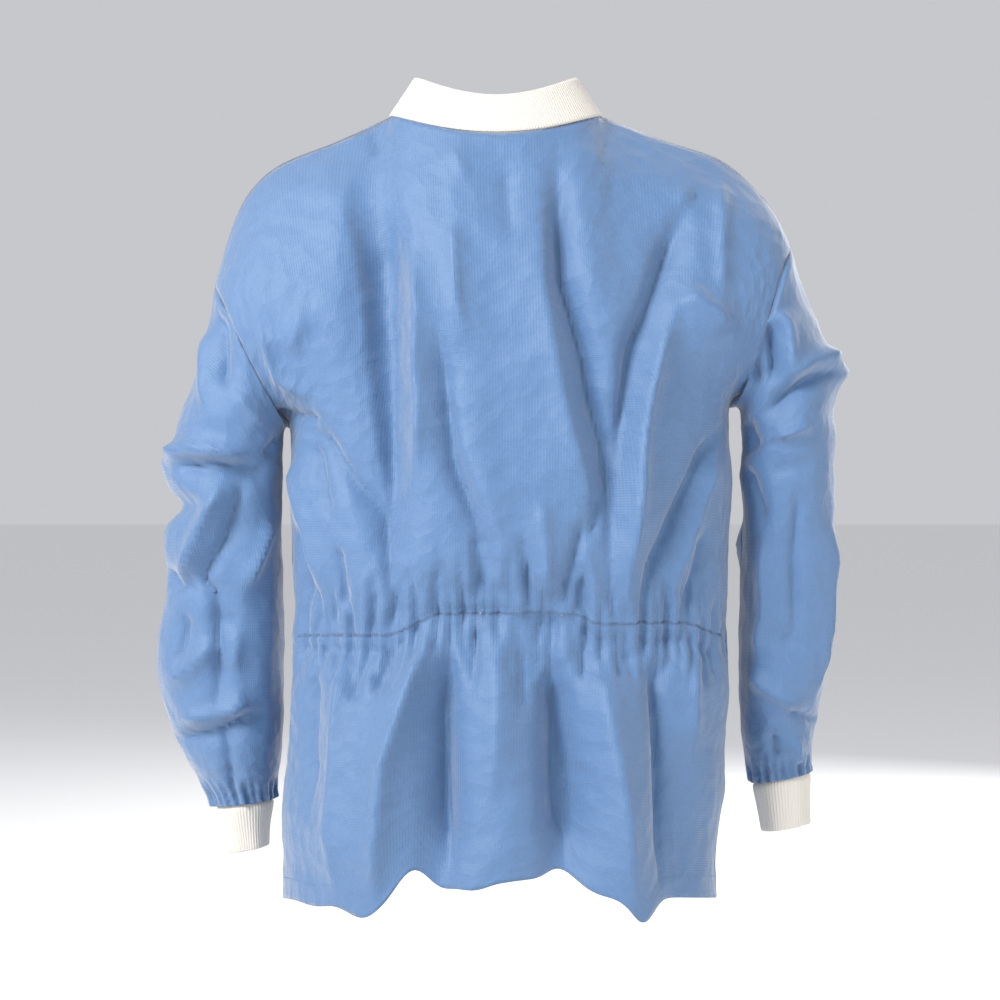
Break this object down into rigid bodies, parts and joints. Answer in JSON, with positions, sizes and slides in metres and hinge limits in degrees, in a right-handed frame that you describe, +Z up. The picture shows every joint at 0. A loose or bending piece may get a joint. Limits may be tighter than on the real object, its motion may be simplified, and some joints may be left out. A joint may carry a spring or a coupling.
{
  "type": "disposable lab jacket",
  "caption": "Hip-length disposable lab jacket shown as worn: gathered elastic back waist, snap front, patch pockets, knit collar and knit cuffs.",
  "frame": {"origin": "middle of the neck opening, level with the two points where the shoulder seams meet the collar", "axes": "+Z up along the body, -Y the way the wearer faces, +X towards the wearer's left"},
  "size_m": [0.6924, 0.2776, 0.8203],
  "materials": {
    "nonwoven": "thin blue spunbond nonwoven with a fine embossed grid, slightly translucent, soft satin",
    "seam_allowance": "the same nonwoven, doubled and overlocked",
    "rib_knit": "off-white rib knit, matt",
    "elastic": "braided white elastic tape",
    "snap_plastic": "white moulded plastic, satin"
  },
  "bodies": {
    "jacket_body": {"back_panel": "nonwoven", "left_front_shoulder": "nonwoven", "right_front_shoulder": "nonwoven", "chest_pocket": "nonwoven", "left_hip_pocket": "nonwoven", "right_hip_pocket": "nonwoven", "collar_back": "rib_knit", "left_side_seam": "seam_allowance", "left_shoulder_seam": "seam_allowance", "left_armhole_seam": "seam_allowance", "right_side_seam": "seam_allowance", "right_shoulder_seam": "seam_allowance", "right_armhole_seam": "seam_allowance", "waist_elastic": "elastic", "neck_seam": "seam_allowance"},
    "left_sleeve_body": {"left_sleeve": "nonwoven", "left_cuff": "rib_knit", "left_cuff_seam": "seam_allowance", "left_sleeve_seam": "seam_allowance"},
    "right_sleeve_body": {"right_sleeve": "nonwoven", "right_cuff": "rib_knit", "right_cuff_seam": "seam_allowance", "right_sleeve_seam": "seam_allowance"},
    "left_front_body": {"left_front_panel": "nonwoven", "left_placket_facing": "nonwoven", "left_collar_end": "rib_knit", "snap_cap_1": "snap_plastic", "snap_socket_1": "snap_plastic", "snap_cap_2": "snap_plastic", "snap_socket_2": "snap_plastic", "snap_cap_3": "snap_plastic", "snap_socket_3": "snap_plastic", "snap_cap_4": "snap_plastic", "snap_socket_4": "snap_plastic", "snap_cap_5": "snap_plastic", "snap_socket_5": "snap_plastic"},
    "right_front_body": {"right_front_panel": "nonwoven", "right_placket_facing": "nonwoven", "right_collar_end": "rib_knit", "snap_stud_1": "snap_plastic", "snap_post_1": "snap_plastic", "snap_stud_2": "snap_plastic", "snap_post_2": "snap_plastic", "snap_stud_3": "snap_plastic", "snap_post_3": "snap_plastic", "snap_stud_4": "snap_plastic", "snap_post_4": "snap_plastic", "snap_stud_5": "snap_plastic", "snap_post_5": "snap_plastic"}
  },
  "joints": [
    {"name": "left_sleeve_raise", "type": "hinge", "parent": "jacket_body", "child": "left_sleeve_body", "pos_m": [0.275, 0, -0.172], "axis": [0, -1, 0], "range_deg": [0, 55]},
    {"name": "right_sleeve_raise", "type": "hinge", "parent": "jacket_body", "child": "right_sleeve_body", "pos_m": [-0.28, 0, -0.13], "axis": [0, 1, 0], "range_deg": [0, 55]},
    {"name": "left_front_open", "type": "hinge", "parent": "jacket_body", "child": "left_front_body", "pos_m": [0.066, -0.088, -0.045], "axis": [-0.0608, 0.0622, 0.9962], "range_deg": [0, 90]},
    {"name": "right_front_open", "type": "hinge", "parent": "jacket_body", "child": "right_front_body", "pos_m": [-0.066, -0.088, -0.045], "axis": [-0.0608, -0.0622, -0.9962], "range_deg": [0, 50]}
  ],
  "couplings": [
    {"joint": "right_front_open", "follows": "left_front_open", "ratio": 0.55}
  ]
}
